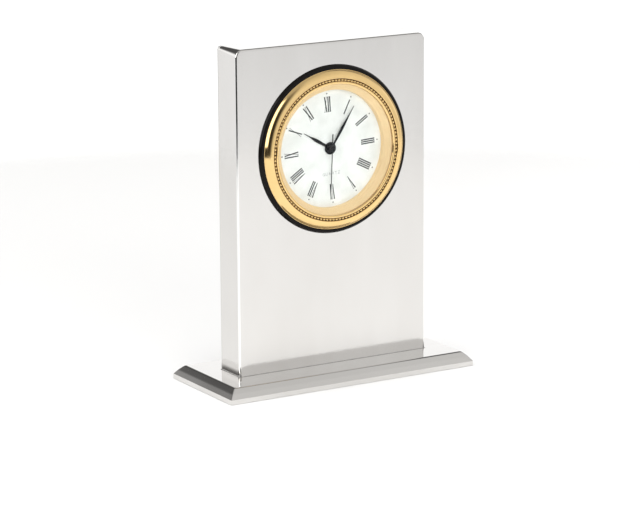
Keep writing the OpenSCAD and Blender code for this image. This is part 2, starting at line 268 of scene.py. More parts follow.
M["hatch_plastic"] = surface(
    "hatch_moulding", (0.022, 0.022, 0.023), rough=0.38, var=0.2, var_scale=300, bump=0.30,
    bump_scale=3200,
)
M["grip_rubber"] = surface(
    "grip_rubber", (0.018, 0.018, 0.019), rough=0.72, var=0.25, var_scale=500, bump=0.5,
    bump_scale=3000, spec=0.3,
)
M["dial_white"] = surface(
    "dial_lacquer", (0.74, 0.755, 0.74), rough=0.46, rough_var=0.04, var=0.008, var_scale=160,
    bump=0.03, bump_scale=4200, tint=(0.89, 0.905, 0.895),
)
M["dial_ink"] = surface(
    "dial_ink", (0.014, 0.016, 0.020), rough=0.45, var=0.35, var_scale=1600, bump=0.2,
    bump_scale=5000, tint=(0.020, 0.022, 0.026), spec=0.2,
)
M["dial_ink_grey"] = surface(
    "dial_ink_grey", (0.24, 0.245, 0.25), rough=0.5, var=0.3, var_scale=1800, bump=0.2,
    bump_scale=5000,
)
M["hand_black"] = surface(
    "hand_gloss_black", (0.008, 0.009, 0.012), rough=0.20, rough_var=0.05, var=0.3, var_scale=700,
    rough_scale=900, bump=0.08, bump_scale=3600, spec=0.18,
)
M["felt"] = surface(
    "felt_black", (0.022, 0.022, 0.026), rough=0.95, rough_var=0.04, var=0.45, var_scale=2400,
    bump=1.0, bump_scale=5200, sheen=0.6, spec=0.1, speck=0.25,
)
M["inner_steel"] = surface(
    "plated_steel_sheet", (0.60, 0.60, 0.61), rough=0.34, metallic=1.0, var=0.08, bump=0.15,
    bump_scale=2600, stretch=(0.2, 1, 1),
)
M["ballast"] = surface(
    "ballast_steel", (0.30, 0.31, 0.33), rough=0.5, metallic=1.0, var=0.22, var_scale=160,
    bump=0.4, bump_scale=1800, tint=(0.27, 0.25, 0.24),
)
M["screw_steel"] = surface(
    "screw_steel", (0.58, 0.58, 0.60), rough=0.26, metallic=1.0, var=0.1, bump=0.1, bump_scale=3200,
)
M["wheel_plastic"] = surface(
    "acetal_white", (0.80, 0.80, 0.76), rough=0.38, var=0.03, var_scale=500, bump=0.1,
    bump_scale=4200,
)
M["wheel_brass"] = surface(
    "wheel_brass", (0.84, 0.62, 0.28), rough=0.24, metallic=1.0, var=0.07, bump=0.08,
    bump_scale=3600,
)
M["spring_steel"] = surface(
    "spring_steel", (0.50, 0.51, 0.54), rough=0.24, metallic=1.0, var=0.1, bump=0.1,
    bump_scale=3600,
)
M["plate_metal"] = surface(
    "train_plate_alloy", (0.66, 0.64, 0.56), rough=0.36, metallic=1.0, var=0.08, bump=0.2,
    bump_scale=2400, stretch=(1, 1, 0.2),
)
M["magnet"] = surface(
    "magnet", (0.10, 0.10, 0.11), rough=0.42, metallic=0.6, var=0.2, bump=0.3, bump_scale=3800,
)
M["soft_iron"] = surface(
    "soft_iron", (0.36, 0.36, 0.38), rough=0.42, metallic=1.0, var=0.15, bump=0.25,
    bump_scale=2600,
)
M["bobbin_plastic"] = surface(
    "bobbin_plastic", (0.70, 0.66, 0.54), rough=0.45, var=0.05, bump=0.15, bump_scale=3600,
)
M["copper_wire"] = surface(
    "copper_wire", (0.62, 0.26, 0.11), rough=0.30, metallic=1.0, var=0.2, var_scale=900,
    bump=0.8, bump_scale=1500, stretch=(0.15, 1, 6.0),
)
M["board"] = surface(
    "board_green", (0.03, 0.16, 0.07), rough=0.34, var=0.25, var_scale=900, bump=0.3,
    bump_scale=2400, tint=(0.04, 0.22, 0.10),
)
M["chip_epoxy"] = surface(
    "chip_epoxy", (0.015, 0.015, 0.016), rough=0.5, var=0.2, bump=0.4, bump_scale=5200,
)
M["can_metal"] = surface(
    "quartz_can_metal", (0.68, 0.68, 0.70), rough=0.2, metallic=1.0, var=0.06, bump=0.08,
    bump_scale=3200,
)
M["cell_steel"] = surface(
    "cell_steel", (0.66, 0.66, 0.68), rough=0.24, metallic=1.0, var=0.06, bump=0.1,
    bump_scale=2600,
)
M["contact_gilt"] = surface(
    "contact_gilt", (0.80, 0.60, 0.28), rough=0.3, metallic=1.0, var=0.08, bump=0.1,
    bump_scale=3200,
)
M["knob_plastic"] = surface(
    "knob_moulding", (0.62, 0.62, 0.60), rough=0.36, var=0.05, var_scale=400, bump=0.2,
    bump_scale=3600,
)


def glass():
    """Thin clear window: transparent, with Schlick's reflection, the same on both faces of the pane."""
    m, nt, out = new_material("clear_window")
    n, link = nt.nodes, nt.links
    tr = n.new("ShaderNodeBsdfTransparent")
    gl = n.new("ShaderNodeBsdfGlossy")
    gl.inputs["Roughness"].default_value = 0.03
    lw = n.new("ShaderNodeLayerWeight")
    lw.inputs["Blend"].default_value = 0.5
    p5 = n.new("ShaderNodeMath")
    p5.operation = "POWER"
    p5.inputs[1].default_value = 5.0
    link.new(lw.outputs["Facing"], p5.inputs[0])
    fr = n.new("ShaderNodeMath")
    fr.operation = "MULTIPLY_ADD"
    fr.inputs[1].default_value = 0.99
    fr.inputs[2].default_value = 0.01
    link.new(p5.outputs[0], fr.inputs[0])
    tc = n.new("ShaderNodeTexCoord")
    nz = n.new("ShaderNodeTexNoise")
    nz.inputs["Scale"].default_value = 90.0
    link.new(tc.outputs["Object"], nz.inputs["Vector"])
    ramp = n.new("ShaderNodeValToRGB")
    ramp.color_ramp.elements[0].color = (0.975, 0.985, 0.98, 1)
    ramp.color_ramp.elements[1].color = (0.995, 1.0, 0.998, 1)
    link.new(nz.outputs["Fac"], ramp.inputs["Fac"])
    link.new(ramp.outputs["Color"], tr.inputs["Color"])
    mix = n.new("ShaderNodeMixShader")
    link.new(fr.outputs[0], mix.inputs["Fac"])
    link.new(tr.outputs["BSDF"], mix.inputs[1])
    link.new(gl.outputs["BSDF"], mix.inputs[2])
    link.new(mix.outputs["Shader"], out.inputs["Surface"])
    return m


M["clear_glass"] = glass()


# ---------------------------------------------------------------- mesh tools


def piece(name, verts, faces, material, body=ROOT, replaces=(), sharp=35.0, weighted=True):
    """A mesh in millimetres of the row frame, made into an object that rides on a body."""
    me = bpy.data.meshes.new(name)
    me.from_pydata([(x * MM, y * MM, z * MM) for x, y, z in verts], [], faces)
    me.validate()
    bm = bmesh.new()
    bm.from_mesh(me)
    bmesh.ops.remove_doubles(bm, verts=bm.verts, dist=1e-8)
    bmesh.ops.recalc_face_normals(bm, faces=bm.faces)
    bm.to_mesh(me)
    bm.free()
    for p in me.polygons:
        p.use_smooth = True
    me.set_sharp_from_angle(angle=math.radians(sharp))
    ob = bpy.data.objects.new(name, me)
    bpy.context.scene.collection.objects.link(ob)
    me.materials.append(M[material] if isinstance(material, str) else material)
    if weighted:
        w = ob.modifiers.new("weighted", "WEIGHTED_NORMAL")
        w.keep_sharp = True
        w.weight = 90
    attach(ob, body)
    if replaces:
        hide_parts(*replaces)
    return ob


class Shape:
    """Collects vertices and faces."""

    def __init__(self):
        self.v = []
        self.f = []

    def add(self, verts, faces):
        k = len(self.v)
        self.v += [tuple(p) for p in verts]
        self.f += [tuple(i + k for i in f) for f in faces]
        return k


def lathe(profile, seg, closed=True, cx=0.0, cy=0.0, place=insert_to_world, radial=None):
    """Turns (r, z) points about the insert's axis. radial(i, k, r, z) may change a point."""
    s = Shape()
    index = []
    for k, (r, z) in enumerate(profile):
        if r < 1e-9:
            s.v.append(place(cx, cy, z))
            index.append([len(s.v) - 1] * seg)
            continue
        row = []
        for i in range(seg):
            a = 2 * PI * i / seg
            rr, zz = (r, z) if radial is None else radial(a, k, r, z)
            s.v.append(place(cx + rr * math.cos(a), cy + rr * math.sin(a), zz))
            row.append(len(s.v) - 1)
        index.append(row)
    n = len(profile)
    for k in range(n if closed else n - 1):
        a, b = index[k], index[(k + 1) % n]
        for i in range(seg):
            j = (i + 1) % seg
            q = []
            for x in (a[i], a[j], b[j], b[i]):
                if x not in q:
                    q.append(x)
            if len(q) >= 3:
                s.f.append(tuple(q))
    return s


def rounded(points, radii, n=5, closed=False):
    """A polyline with its corners rounded; radii gives one radius for each point."""
    out = []
    m = len(points)
    for i, (p, r) in enumerate(zip(points, radii)):
        if r <= 0 or (not closed and i in (0, m - 1)):
            out.append(tuple(p))
            continue
        p = Vector(p)
        a = Vector(points[i - 1]) - p
        b = Vector(points[(i + 1) % m]) - p
        la, lb = a.length, b.length
        a.normalize()
        b.normalize()
        half = math.acos(max(-1, min(1, a.dot(b)))) / 2
        t = min(r / math.tan(half), la * 0.49, lb * 0.49)
        r = t * math.tan(half)
        c = p + (a + b).normalized() * (r / math.sin(half))
        s, e = p + a * t - c, p + b * t - c
        ang = math.acos(max(-1, min(1, s.normalized().dot(e.normalized()))))
        for k in range(n + 1):
            u = k / n
            if ang < 1e-6:
                q = s
            else:
                q = (s * math.sin((1 - u) * ang) + e * math.sin(u * ang)) / math.sin(ang)
            out.append((c[0] + q[0], c[1] + q[1]))
    return out


# ---------------------------------------------------------------- the case


def corner_at(y):
    """The two upper corners were polished rounder towards the front."""
    t = (y - FY) / (BY - FY)
    return 3.0 + (1.3 - 3.0) * min(1.0, max(0.0, t))


N_SIDE, N_ARC, N_TOP = 44, 9, 28


def outline(d, R):
    """The case seen from the front, drawn in by d, from the lower left round to the lower right."""
    w, top = HW - d, ZT - d
    r = max(R - d, 0.05)
    pts = []
    for i in range(N_SIDE):
        pts.append((-w, Z0 + (top - r - Z0) * i / N_SIDE))
    for i in range(N_ARC):
        a = PI - (PI / 2) * i / N_ARC
        pts.append((-w + r + r * math.cos(a), top - r + r * math.sin(a)))
    for i in range(N_TOP + 1):
        pts.append((-w + r + (2 * w - 2 * r) * i / N_TOP, top))
    left = pts[: N_SIDE + N_ARC]
    pts += [(-x, z) for x, z in reversed(left)]
    return pts


def shell_face(name, y_open, y_face, fillet, hole_r, hole_round, thick, material, replaces, mid=()):
    """A sheet-metal shell: its sides run from y_open to y_face, with a rounded edge, a flat face and a round hole."""
    out = 1 if y_face > y_open else -1
    s = Shape()
    rings = []

    def ring(y, d):
        k = len(s.v)
        s.v += [(x, y, z) for x, z in outline(d, corner_at(y_open if out > 0 else y))]
        rings.append(list(range(k, len(s.v))))

    ring(y_open, 0.03)
    ring(y_open + out * 0.04, 0.0)
    for y in mid:
        ring(y, 0.0)
    ring(y_face - out * (fillet + 0.05), 0.0)
    for i in range(9):
        t = (PI / 2) * i / 8
        ring(y_face - out * fillet * (1 - math.sin(t)), fillet * (1 - math.cos(t)))
    ring(y_face, fillet + 0.12)
    for a, b in zip(rings, rings[1:]):
        for i in range(len(a) - 1):
            s.f.append((a[i], a[i + 1], b[i + 1], b[i]))
    # flat face: the last ring closed along the foot, then rays to the hole
    loop = list(rings[-1])
    n_foot = 28
    x1, x0 = s.v[loop[-1]][0], s.v[loop[0]][0]
    for i in range(1, n_foot):
        s.v.append((x1 + (x0 - x1) * i / n_foot, y_face, Z0))
        loop.append(len(s.v) - 1)
    prev = loop
    steps = [(hole_r + 3.5, y_face), (hole_r + hole_round, y_face)]
    for i in range(1, 4):
        t = (PI / 2) * i / 3
        steps.append((hole_r + hole_round * (1 - math.sin(t)), y_face - out * hole_round * (1 - math.cos(t))))
    for r, y in steps:
        k = len(s.v)
        row = []
        for i in loop:
            x, _, z = s.v[i]
            l = math.hypot(x, z - RZ)
            s.v.append((x / l * r, y, RZ + (z - RZ) / l * r))
            row.append(len(s.v) - 1)
        m = len(row)
        for i in range(m):
            j = (i + 1) % m
            s.f.append((prev[i], prev[j], row[j], row[i]))
        prev = row
    ob = piece(name, s.v, s.f, material, replaces=replaces, sharp=50, weighted=False)
    # an outward normal decides which way the sheet grows inwards
    me = ob.data
    # the upright edge fillets get a brighter nickel, a painted highlight line along each edge
    me.materials.append(M["case_edge"])
    for p in me.polygons:
        x, y, z = p.center[0] / MM, p.center[1] / MM, p.center[2] / MM
        deep = (y_face - y) * out
        if 0.02 < deep < fillet and HW - fillet < abs(x) < HW - 0.01 and z < ZT - 3.4:
            p.material_index = 1
    face = max(me.polygons, key=lambda p: p.area)
    if face.normal.y * out < 0:
        me.flip_normals()
    so = ob.modifiers.new("sheet", "SOLIDIFY")
    so.thickness = thick * MM
    so.offset = -1
    so.use_even_offset = False
    w = ob.modifiers.new("weighted", "WEIGHTED_NORMAL")
    w.keep_sharp = True
    w.weight = 90
    return ob


case_skin = shell_face(
    "case_skin", 6.3, FY, 0.85, 30.05, 0.25, 0.9, "case_metal", ("front_plate", "case_band"),
    mid=[5.0, 3.0, 1.0, -1.0, -3.0, -4.6],
)
back_skin = shell_face(
    "back_skin", 6.3, BY, 0.75, 27.5, 0.25, 0.85, "case_metal", ("back_plate",),
)


def rect_ring(hx, hy, r, z, n=4):
    pts = []
    for cx, cy, a0 in ((hx - r, hy - r, 0), (-hx + r, hy - r, 90), (-hx + r, -hy + r, 180), (hx - r, -hy + r, 270)):
        for i in range(n + 1):
            a = math.radians(a0 + 90 * i / n)
            pts.append((cx + r * math.cos(a), cy + r * math.sin(a), z))
    return pts


def base_skin():
    """The plinth's shell: upright lip, mitred bevel, flat top."""
    prof = rounded([(0.12, 0.0), (0.0, 0.12), (0.0, 1.9), (1.42, 3.68), (3.35, BZ), (9.0, BZ)], [0, 0, 0.22, 5.0, 1.3, 0], n=7)
    s = Shape()
    rows = []
    for o, z in prof:
        k = len(s.v)
        s.v += rect_ring(BHX - o, BHY - o, 0.38, z)
        rows.append(list(range(k, len(s.v))))
    for a, b in zip(rows, rows[1:]):
        m = len(a)
        for i in range(m):
            j = (i + 1) % m
            s.f.append((a[i], a[j], b[j], b[i]))
    s.f.append(tuple(rows[-1]))
    ob = piece("base_skin", s.v, s.f, "base_metal", replaces=("base_shell",), sharp=40, weighted=False)
    me = ob.data
    top = max(me.polygons, key=lambda p: p.area)
    if top.normal.z < 0:
        me.flip_normals()
    so = ob.modifiers.new("sheet", "SOLIDIFY")
    so.thickness = 0.95 * MM
    so.offset = -1
    so.use_even_offset = False
    w = ob.modifiers.new("weighted", "WEIGHTED_NORMAL")
    w.keep_sharp = True
    w.weight = 90
    return ob


base_skin()


def solder_seam():
    """The fine concave line of solder where the case stands on the base."""
    s = Shape()
    prof = [(0.0, 0.26), (0.03, 0.14), (0.09, 0.06), (0.16, 0.02), (0.26, 0.0), (0.0, -0.05)]
    rows = []
    for o, z in prof:
        k = len(s.v)
        s.v += rect_ring(HW + o - 0.02, (BY - FY) / 2 + o - 0.02, 0.2 + o, BZ + z, n=4)
        rows.append(list(range(k, len(s.v))))
    inner = len(s.v)
    s.v += rect_ring(HW - 0.35, (BY - FY) / 2 - 0.35, 0.15, BZ - 0.05, n=4)
    s.v += rect_ring(HW - 0.35, (BY - FY) / 2 - 0.35, 0.15, BZ + 0.26, n=4)
    m = len(rows[0])
    rows.append(list(range(inner, inner + m)))
    rows.append(list(range(inner + m, inner + 2 * m)))
    for a, b in zip(rows, rows[1:] + rows[:1]):
        for i in range(m):
            j = (i + 1) % m
            s.f.append((a[i], a[j], b[j], b[i]))
    return piece("solder_seam", s.v, s.f, "solder", sharp=60)


solder_seam()


# ---------------------------------------------------------------- the insert

SEG = 288


def bake(ob):
    """Puts the result of an object's modifiers into its mesh."""
    dg = bpy.context.evaluated_depsgraph_get()
    me = bpy.data.meshes.new_from_object(ob.evaluated_get(dg))
    ob.modifiers.clear()
    old = ob.data
    ob.data = me
    bpy.data.meshes.remove(old)
    return ob


def tool(name, s):
    me = bpy.data.meshes.new(name)
    me.from_pydata([(x * MM, y * MM, z * MM) for x, y, z in s.v], [], s.f)
    bm = bmesh.new()
    bm.from_mesh(me)
    bmesh.ops.remove_doubles(bm, verts=bm.verts, dist=1e-8)
    bmesh.ops.recalc_face_normals(bm, faces=bm.faces)
    bm.to_mesh(me)
    bm.free()
    ob = bpy.data.objects.new(name, me)
    bpy.context.scene.collection.objects.link(ob)
    return ob


def block(x0, x1, y0, y1, z0, z1, rot=0.0, cx=0.0, cy=0.0, place=insert_to_world):
    s = Shape()
    c, k = math.cos(rot), math.sin(rot)
    v = []
    for z in (z0, z1):
        for x, y in ((x0, y0), (x1, y0), (x1, y1), (x0, y1)):
            v.append(place(cx + x * c - y * k, cy + x * k + y * c, z))
    s.add(v, [(0, 3, 2, 1), (4, 5, 6, 7), (0, 1, 5, 4), (1, 2, 6, 5), (2, 3, 7, 6), (3, 0, 4, 7)])
    return s


def cut(ob, tools, union=False):
    for t in tools:
        b = ob.modifiers.new("cut", "BOOLEAN")
        b.operation = "UNION" if union else "DIFFERENCE"
        b.solver = "EXACT"
        b.object = t
    bpy.context.view_layer.update()
    bake(ob)
    for t in tools:
        me = t.data
        bpy.data.objects.remove(t)
        bpy.data.meshes.remove(me)
    return ob


def finish_smooth(ob, sharp=35.0, weighted=True):
    me = ob.data
    for p in me.polygons:
        p.use_smooth = True
    me.set_sharp_from_angle(angle=math.radians(sharp))
    if weighted:
        w = ob.modifiers.new("weighted", "WEIGHTED_NORMAL")
        w.keep_sharp = True
        w.weight = 90


def housing():
    """The insert's black housing: flange with a rounded rim, cup wall, shoulder and moulded back."""
    cb = FY - _cup_hi[1]  # rear face of the housing
    neck, sh = 27.0, cb + 1.1
    outer = rounded(
        [(27.7, 1.2), (31.9, 1.2), (FLANGE_R, 0.0), (29.0, 0.0), (29.0, sh), (neck, sh), (neck, cb),
         (25.6, cb), (25.3, cb + 0.4), (23.9, cb + 0.4), (23.6, cb)],
        [0.1, 0.9, 0.10, 0, 0.3, 0.1, 0.35, 0.1, 0.1, 0.1, 0.1], n=6, closed=True,
    )
    prof = outer + [(10.2, cb), (0.0, cb), (0.0, cb + 1.2), (26.5, cb + 1.2), (26.5, cb + 2.3), (27.7, cb + 2.3),
                    (27.7, DIAL_Z - 2.0), (26.2, DIAL_Z - 2.0), (26.2, DIAL_Z - 0.4), (27.7, DIAL_Z - 0.4)]
    s = lathe(prof, SEG, closed=True)
    ob = piece("insert_housing", s.v, s.f, "insert_black", replaces=("insert_cup",), weighted=False)
    a, b = cb - 1.1, cb + 1.9
    tools = []
    tools.append(tool("t1", lathe([(0, a), (7.1, a), (7.1, b), (0, b)], 96, closed=False, cx=0, cy=-13)))
    for ang in (135, 315):
        tools.append(tool("t2", block(0, 8.3, -2.2, 2.2, a, b, math.radians(ang), 0, -13)))
    tools.append(tool("t3", lathe([(0, a), (0.78, a), (0.78, b), (0, b)], 32, closed=False, cx=6.72, cy=0)))
    # shallow moulded grooves round the hatch and round the knob
    tools.append(tool("t4", lathe([(4.6, a), (5.1, a), (5.1, cb + 0.25), (4.6, cb + 0.25)], 72, closed=True, cx=6.72, cy=0)))
    tools.append(tool("t5", lathe([(8.9, a), (9.3, a), (9.3, cb + 0.25), (8.9, cb + 0.25)], 96, closed=True, cx=0, cy=-13)))
    # a turning arrow over the knob and the sign of the cell's pole
    for k in range(9):
        ang = math.radians(60 + 7.5 * k)
        tools.append(tool("t6", block(-0.42, 0.42, -0.13, 0.13, a, cb + 0.2, ang + PI / 2, 6.72 + 6.0 * math.cos(ang), 6.0 * math.sin(ang))))
    tools.append(tool("t7", block(-1.0, 1.0, -0.16, 0.16, a, cb + 0.2, 0, -11.5, -13)))
    tools.append(tool("t8", block(-0.16, 0.16, -1.0, 1.0, a, cb + 0.2, 0, -11.5, -13)))
    cut(ob, tools)
    finish_smooth(ob)
    return ob


housing()


def bezel_parts():
    """A convex gilt band, a seat darkened with painted shade, a ring of 120 round beads and a smooth inner lip."""
    r0, r1, ztop, tilt = 27.55, BEZEL_R - 0.12, 3.0, math.radians(60)
    big = (r1 - r0) / math.sin(tilt)
    pts = [(25.3, 2.72), (25.9, 2.45), (26.2, 2.45), (26.2, 0.05), (27.6, 0.05), (27.6, 1.20), (BEZEL_R - 0.05, 1.20), (BEZEL_R, 1.24)]
    for i in range(28, -1, -1):
        t = tilt * i / 28
        pts.append((r0 + big * math.sin(t), max(1.26, ztop - big * (1 - math.cos(t)))))
    pts += [(27.49, 2.97), (27.42, 2.86)]
    pts += [(27.36, 2.30), (26.32, 2.30)]
    pts += [(26.28, 2.86), (26.17, 2.97), (26.0, 3.02), (25.75, 3.0), (25.5, 2.93), (25.36, 2.84)]
    s = lathe(pts, 320)
    ob = piece("bezel_band", s.v, s.f, "gilt", replaces=("bezel",), sharp=45, weighted=False)
    ob.data.materials.append(M["gilt_recess"])
    # the seat faces under the beads take the dark recess material, painted shade
    for p in ob.data.polygons:
        c = p.center
        r = math.hypot(c.x, c.z - RZ * MM) / MM
        if 26.29 < r < 27.41 and c.y > (FY - 2.80) * MM and c.y < (FY - 2.0) * MM:
            p.material_index = 1
    n_beads, rc = 120, 26.84
    s = Shape()
    na, ne = 14, 5
    ru, rt, rz, zb = 0.54, 0.70, 0.62, 2.36
    for b in range(n_beads):
        a = 2 * PI * b / n_beads
        ca, sa = math.cos(a), math.sin(a)

        def put(u, t, z):
            # wide towards the lip, narrow towards the band, which leaves a pit between the beads where the seat's
            # painted shade shows
            t *= 1.0 - 0.34 * max(0.0, min(1.0, (u / ru + 0.35) / 1.2))
            r = rc + u
            s.v.append(insert_to_world(r * ca - t * sa, r * sa + t * ca, z))
            return len(s.v) - 1

        rows = []
        for e in range(ne):
            el = (PI / 2) * e / ne
            rows.append([put(ru * math.cos(el) * math.cos(2 * PI * k / na), rt * math.cos(el) * math.sin(2 * PI * k / na), zb + rz * math.sin(el)) for k in range(na)])
        top = put(0, 0, zb + rz)
        foot = [put(ru * math.cos(2 * PI * k / na), rt * math.sin(2 * PI * k / na), zb - 0.1) for k in range(na)]
        rows = [foot] + rows
        for p, q in zip(rows, rows[1:]):
            for k in range(na):
                j = (k + 1) % na
                s.f.append((p[k], p[j], q[j], q[k]))
        for k in range(na):
            s.f.append((rows[-1][k], rows[-1][(k + 1) % na], top))
        s.f.append(tuple(reversed(foot)))
    piece("bezel_beading", s.v, s.f, "gilt", replaces=("bezel",), sharp=60, weighted=False)


bezel_parts()

s = lathe(
    rounded([(22.8, DIAL_Z + 0.01), (26.3, DIAL_Z + 0.01), (26.3, 1.88), (25.2, 1.88), (24.55, 1.46), (24.45, 1.30), (23.8, 0.88), (23.7, 0.72), (22.8, 0.22)], [0, 0, 0, 0.12, 0.05, 0.05, 0.05, 0.05, 0.15], n=3, closed=True), 288
)
piece("reflector_cone", s.v, s.f, "gilt_cone", replaces=("reflector_ring",), sharp=40, weighted=False)

s = lathe([(0, 1.92), (26.1, 1.92), (26.28, 2.02), (26.28, 2.32), (26.18, 2.42), (0, 2.42)], 192, closed=False)
piece("crystal_window", s.v, s.f, "clear_glass", replaces=("crystal",), sharp=25)

s = lathe([(1.45, -0.4), (27.4, -0.4), (27.4, 0.0), (1.5, 0.0), (1.45, -0.05)], 192, place=works_to_world)
piece("dial_face", s.v, s.f, "dial_white", replaces=("dial",), sharp=25)

INK0, INK1 = -0.02, 0.022
DIAL_TURN = math.radians(-3.44)  # the dial stands a little anticlockwise of upright


def prism(shape, poly, z0=INK0, z1=INK1):
    """A closed flat prism from a polygon in insert x, y."""
    area = sum(a[0] * b[1] - b[0] * a[1] for a, b in zip(poly, poly[1:] + poly[:1]))
    if area < 0:
        poly = poly[::-1]
    n = len(poly)
    c, k = math.cos(DIAL_TURN), math.sin(DIAL_TURN)
    poly = [(x * c + y * k, -x * k + y * c) for x, y in poly]
    v = [works_to_world(x, y, z0) for x, y in poly] + [works_to_world(x, y, z1) for x, y in poly]
    f = [tuple(range(n - 1, -1, -1)), tuple(range(n, 2 * n))]
    for i in range(n):
        j = (i + 1) % n
        f.append((i, j, n + j, n + i))
    shape.add(v, f)


def numerals():
    """Roman numerals set radially, feet towards the centre, with a dot outside each."""
    ink = Shape()
    r0, r1 = 14.0, 19.95
    h = r1 - r0
    wid = {"I": 0.76, "V": 1.50, "X": 1.50}
    words = ["XII", "I", "II", "III", "IIII", "V", "VI", "VII", "VIII", "IX", "X", "XI"]
    thick, thin, ser = 0.45, 0.15, 0.12

    def strokes(c):
        w = wid[c] - 0.10
        bar = lambda x, y, l: [(x - l / 2, y), (x + l / 2, y), (x + l / 2, y + ser), (x - l / 2, y + ser)]
        if c == "I":
            m = w / 2
            return [
                [(m - thick / 2, ser * 0.5), (m + thick / 2, ser * 0.5), (m + thick / 2, h - ser * 0.5), (m - thick / 2, h - ser * 0.5)],
                bar(m, 0, w), bar(m, h - ser, w),
            ]
        if c == "V":
            return [
                [(0.14, h), (0.14 + thick, h), (w / 2 + 0.16, 0), (w / 2 - 0.04, 0)],
                [(w - 0.14 - thin, h), (w - 0.14, h), (w / 2 + 0.14, 0.0), (w / 2 + 0.02, 0.0)],
                bar(0.14 + thick / 2, h - ser, 0.66), bar(w - 0.2, h - ser, 0.5),
            ]
        return [
            [(0.10, h), (0.10 + thick, h), (w - 0.10, 0), (w - 0.10 - thick, 0)],
            [(w - 0.12 - thin, h), (w - 0.12, h), (0.12 + thin, 0), (0.12, 0)],
            bar(0.10 + thick / 2, h - ser, 0.60), bar(w - 0.2, h - ser, 0.46),
            bar(w - 0.10 - thick / 2, 0, 0.60), bar(0.2, 0, 0.46),
        ]

    for hour, word in enumerate(words):
        th = math.radians(30 * hour)
        out = (math.sin(th), math.cos(th))
        right = (math.cos(th), -math.sin(th))
        total = sum(wid[c] for c in word) - 0.10
        x = -total / 2
        for c in word:
            for k, poly in enumerate(strokes(c)):
                pts = []
                for u, v in poly:
                    uu, vv = x + u, r0 + v
                    pts.append((right[0] * uu + out[0] * vv, right[1] * uu + out[1] * vv))
                prism(ink, pts, INK0 - 0.001 * k, INK1 + 0.0008 * k)
            x += wid[c]
        dot = []
        for i in range(16):
            a = 2 * PI * i / 16
            dot.append((out[0] * 21.15 + 0.25 * math.cos(a), out[1] * 21.15 + 0.25 * math.sin(a)))
        prism(ink, dot)
    piece("dial_numerals", ink.v, ink.f, "dial_ink", sharp=20, weighted=False)


numerals()


def small_word():
    """The generic word for the kind of movement, drawn in single strokes."""
    letters = {
        "Q": [[(0.5, 1), (0.15, 0.85), (0, 0.5), (0.15, 0.15), (0.5, 0), (0.85, 0.15), (1, 0.5), (0.85, 0.85), (0.5, 1)], [(0.6, 0.3), (1.0, -0.1)]],
        "U": [[(0.05, 1), (0.05, 0.3), (0.25, 0.04), (0.65, 0.04), (0.85, 0.3), (0.85, 1)]],
        "A": [[(0, 0), (0.45, 1), (0.9, 0)], [(0.18, 0.36), (0.72, 0.36)]],
        "R": [[(0.05, 0), (0.05, 1), (0.6, 1), (0.8, 0.78), (0.6, 0.52), (0.05, 0.5)], [(0.5, 0.5), (0.85, 0)]],
        "T": [[(0, 1), (0.9, 1)], [(0.45, 1), (0.45, 0)]],
        "Z": [[(0.05, 1), (0.85, 1), (0.0, 0), (0.9, 0)]],
    }
    s = Shape()
    size, pitch, w = 1.0, 1.36, 0.055
    x = -(pitch * 5 + 0.95) / 2
    k = 0
    for c in "QUARTZ":
        for line in letters[c]:
            for (ax, ay), (bx, by) in zip(line, line[1:]):
                ax_, ay_, bx_, by_ = x + ax * size, -10.4 + ay * size, x + bx * size, -10.4 + by * size
                dx, dy = bx_ - ax_, by_ - ay_
                l = math.hypot(dx, dy)
                ux, uy = dx / l, dy / l
                e = w * 0.6
                p = [
                    (ax_ - ux * e - uy * w, ay_ - uy * e + ux * w), (bx_ + ux * e - uy * w, by_ + uy * e + ux * w),
                    (bx_ + ux * e + uy * w, by_ + uy * e - ux * w), (ax_ - ux * e + uy * w, ay_ - uy * e - ux * w),
                ]
                prism(s, p, INK0 - 0.0005 * (k % 7), INK1 + 0.0006 * (k % 7))
                k += 1
        x += pitch
    piece("dial_small_word", s.v, s.f, "dial_ink_grey", sharp=20, weighted=False)


small_word()


def hand(name, node, body, angle, pts, z0, z1, boss_profile, ridge=0.07):
    """A hand with a ridged blade and a turned boss."""
    th = math.radians(angle)
    out = (math.sin(th), math.cos(th))
    right = (math.cos(th), -math.sin(th))
    s = Shape()
    rows = []

    def put(u, v, z):
        s.v.append(works_to_world(right[0] * u + out[0] * v, right[1] * u + out[1] * v, z))
        return len(s.v) - 1

    for r, w in pts:
        rows.append([put(-w, r, z0), put(-w, r, z1 - 0.03), put(0, r, z1 + ridge * min(1.0, w / 0.4)), put(w, r, z1 - 0.03), put(w, r, z0)])
    for a, b in zip(rows, rows[1:]):
        for i in range(5):
            j = (i + 1) % 5
            s.f.append((a[i], a[j], b[j], b[i]))
    s.f.append(tuple(rows[0]))
    s.f.append(tuple(reversed(rows[-1])))
    ob = lathe(boss_profile, 72, place=works_to_world)
    s.add(ob.v, ob.f)
    return piece(name, s.v, s.f, "hand_black", body=body, replaces=(node,), sharp=22, weighted=False)


def node_angle(name, fallback):
    return fallback


HOUR_A, MIN_A, SEC_A = 300.25, 33.0, 182.5
hand(
    "hour_hand_blade", "hour_hand", "hour_arbor", HOUR_A,
    [(1.5, 0.5), (4, 0.54), (6, 0.66), (7.4, 0.64), (9.0, 0.42), (10.4, 0.2), (13.4, 0.09)],
    0.30, 0.42,
    rounded([(1.25, 0.15), (2.4, 0.15), (2.4, 0.6), (1.25, 0.6)], [0, 0.05, 0.14, 0.04], n=4, closed=True),
    ridge=0.015,
)
hand(
    "minute_hand_blade", "minute_hand", "minute_arbor", MIN_A,
    [(1.2, 0.38), (5, 0.48), (8.4, 0.58), (10.3, 0.54), (13.5, 0.3), (15.5, 0.18), (18.5, 0.1)],
    1.10, 1.22,
    rounded([(0.75, 1.0), (1.8, 1.0), (1.8, 1.45), (0.75, 1.45)], [0, 0.05, 0.12, 0.04], n=4, closed=True),
    ridge=0.015,
)
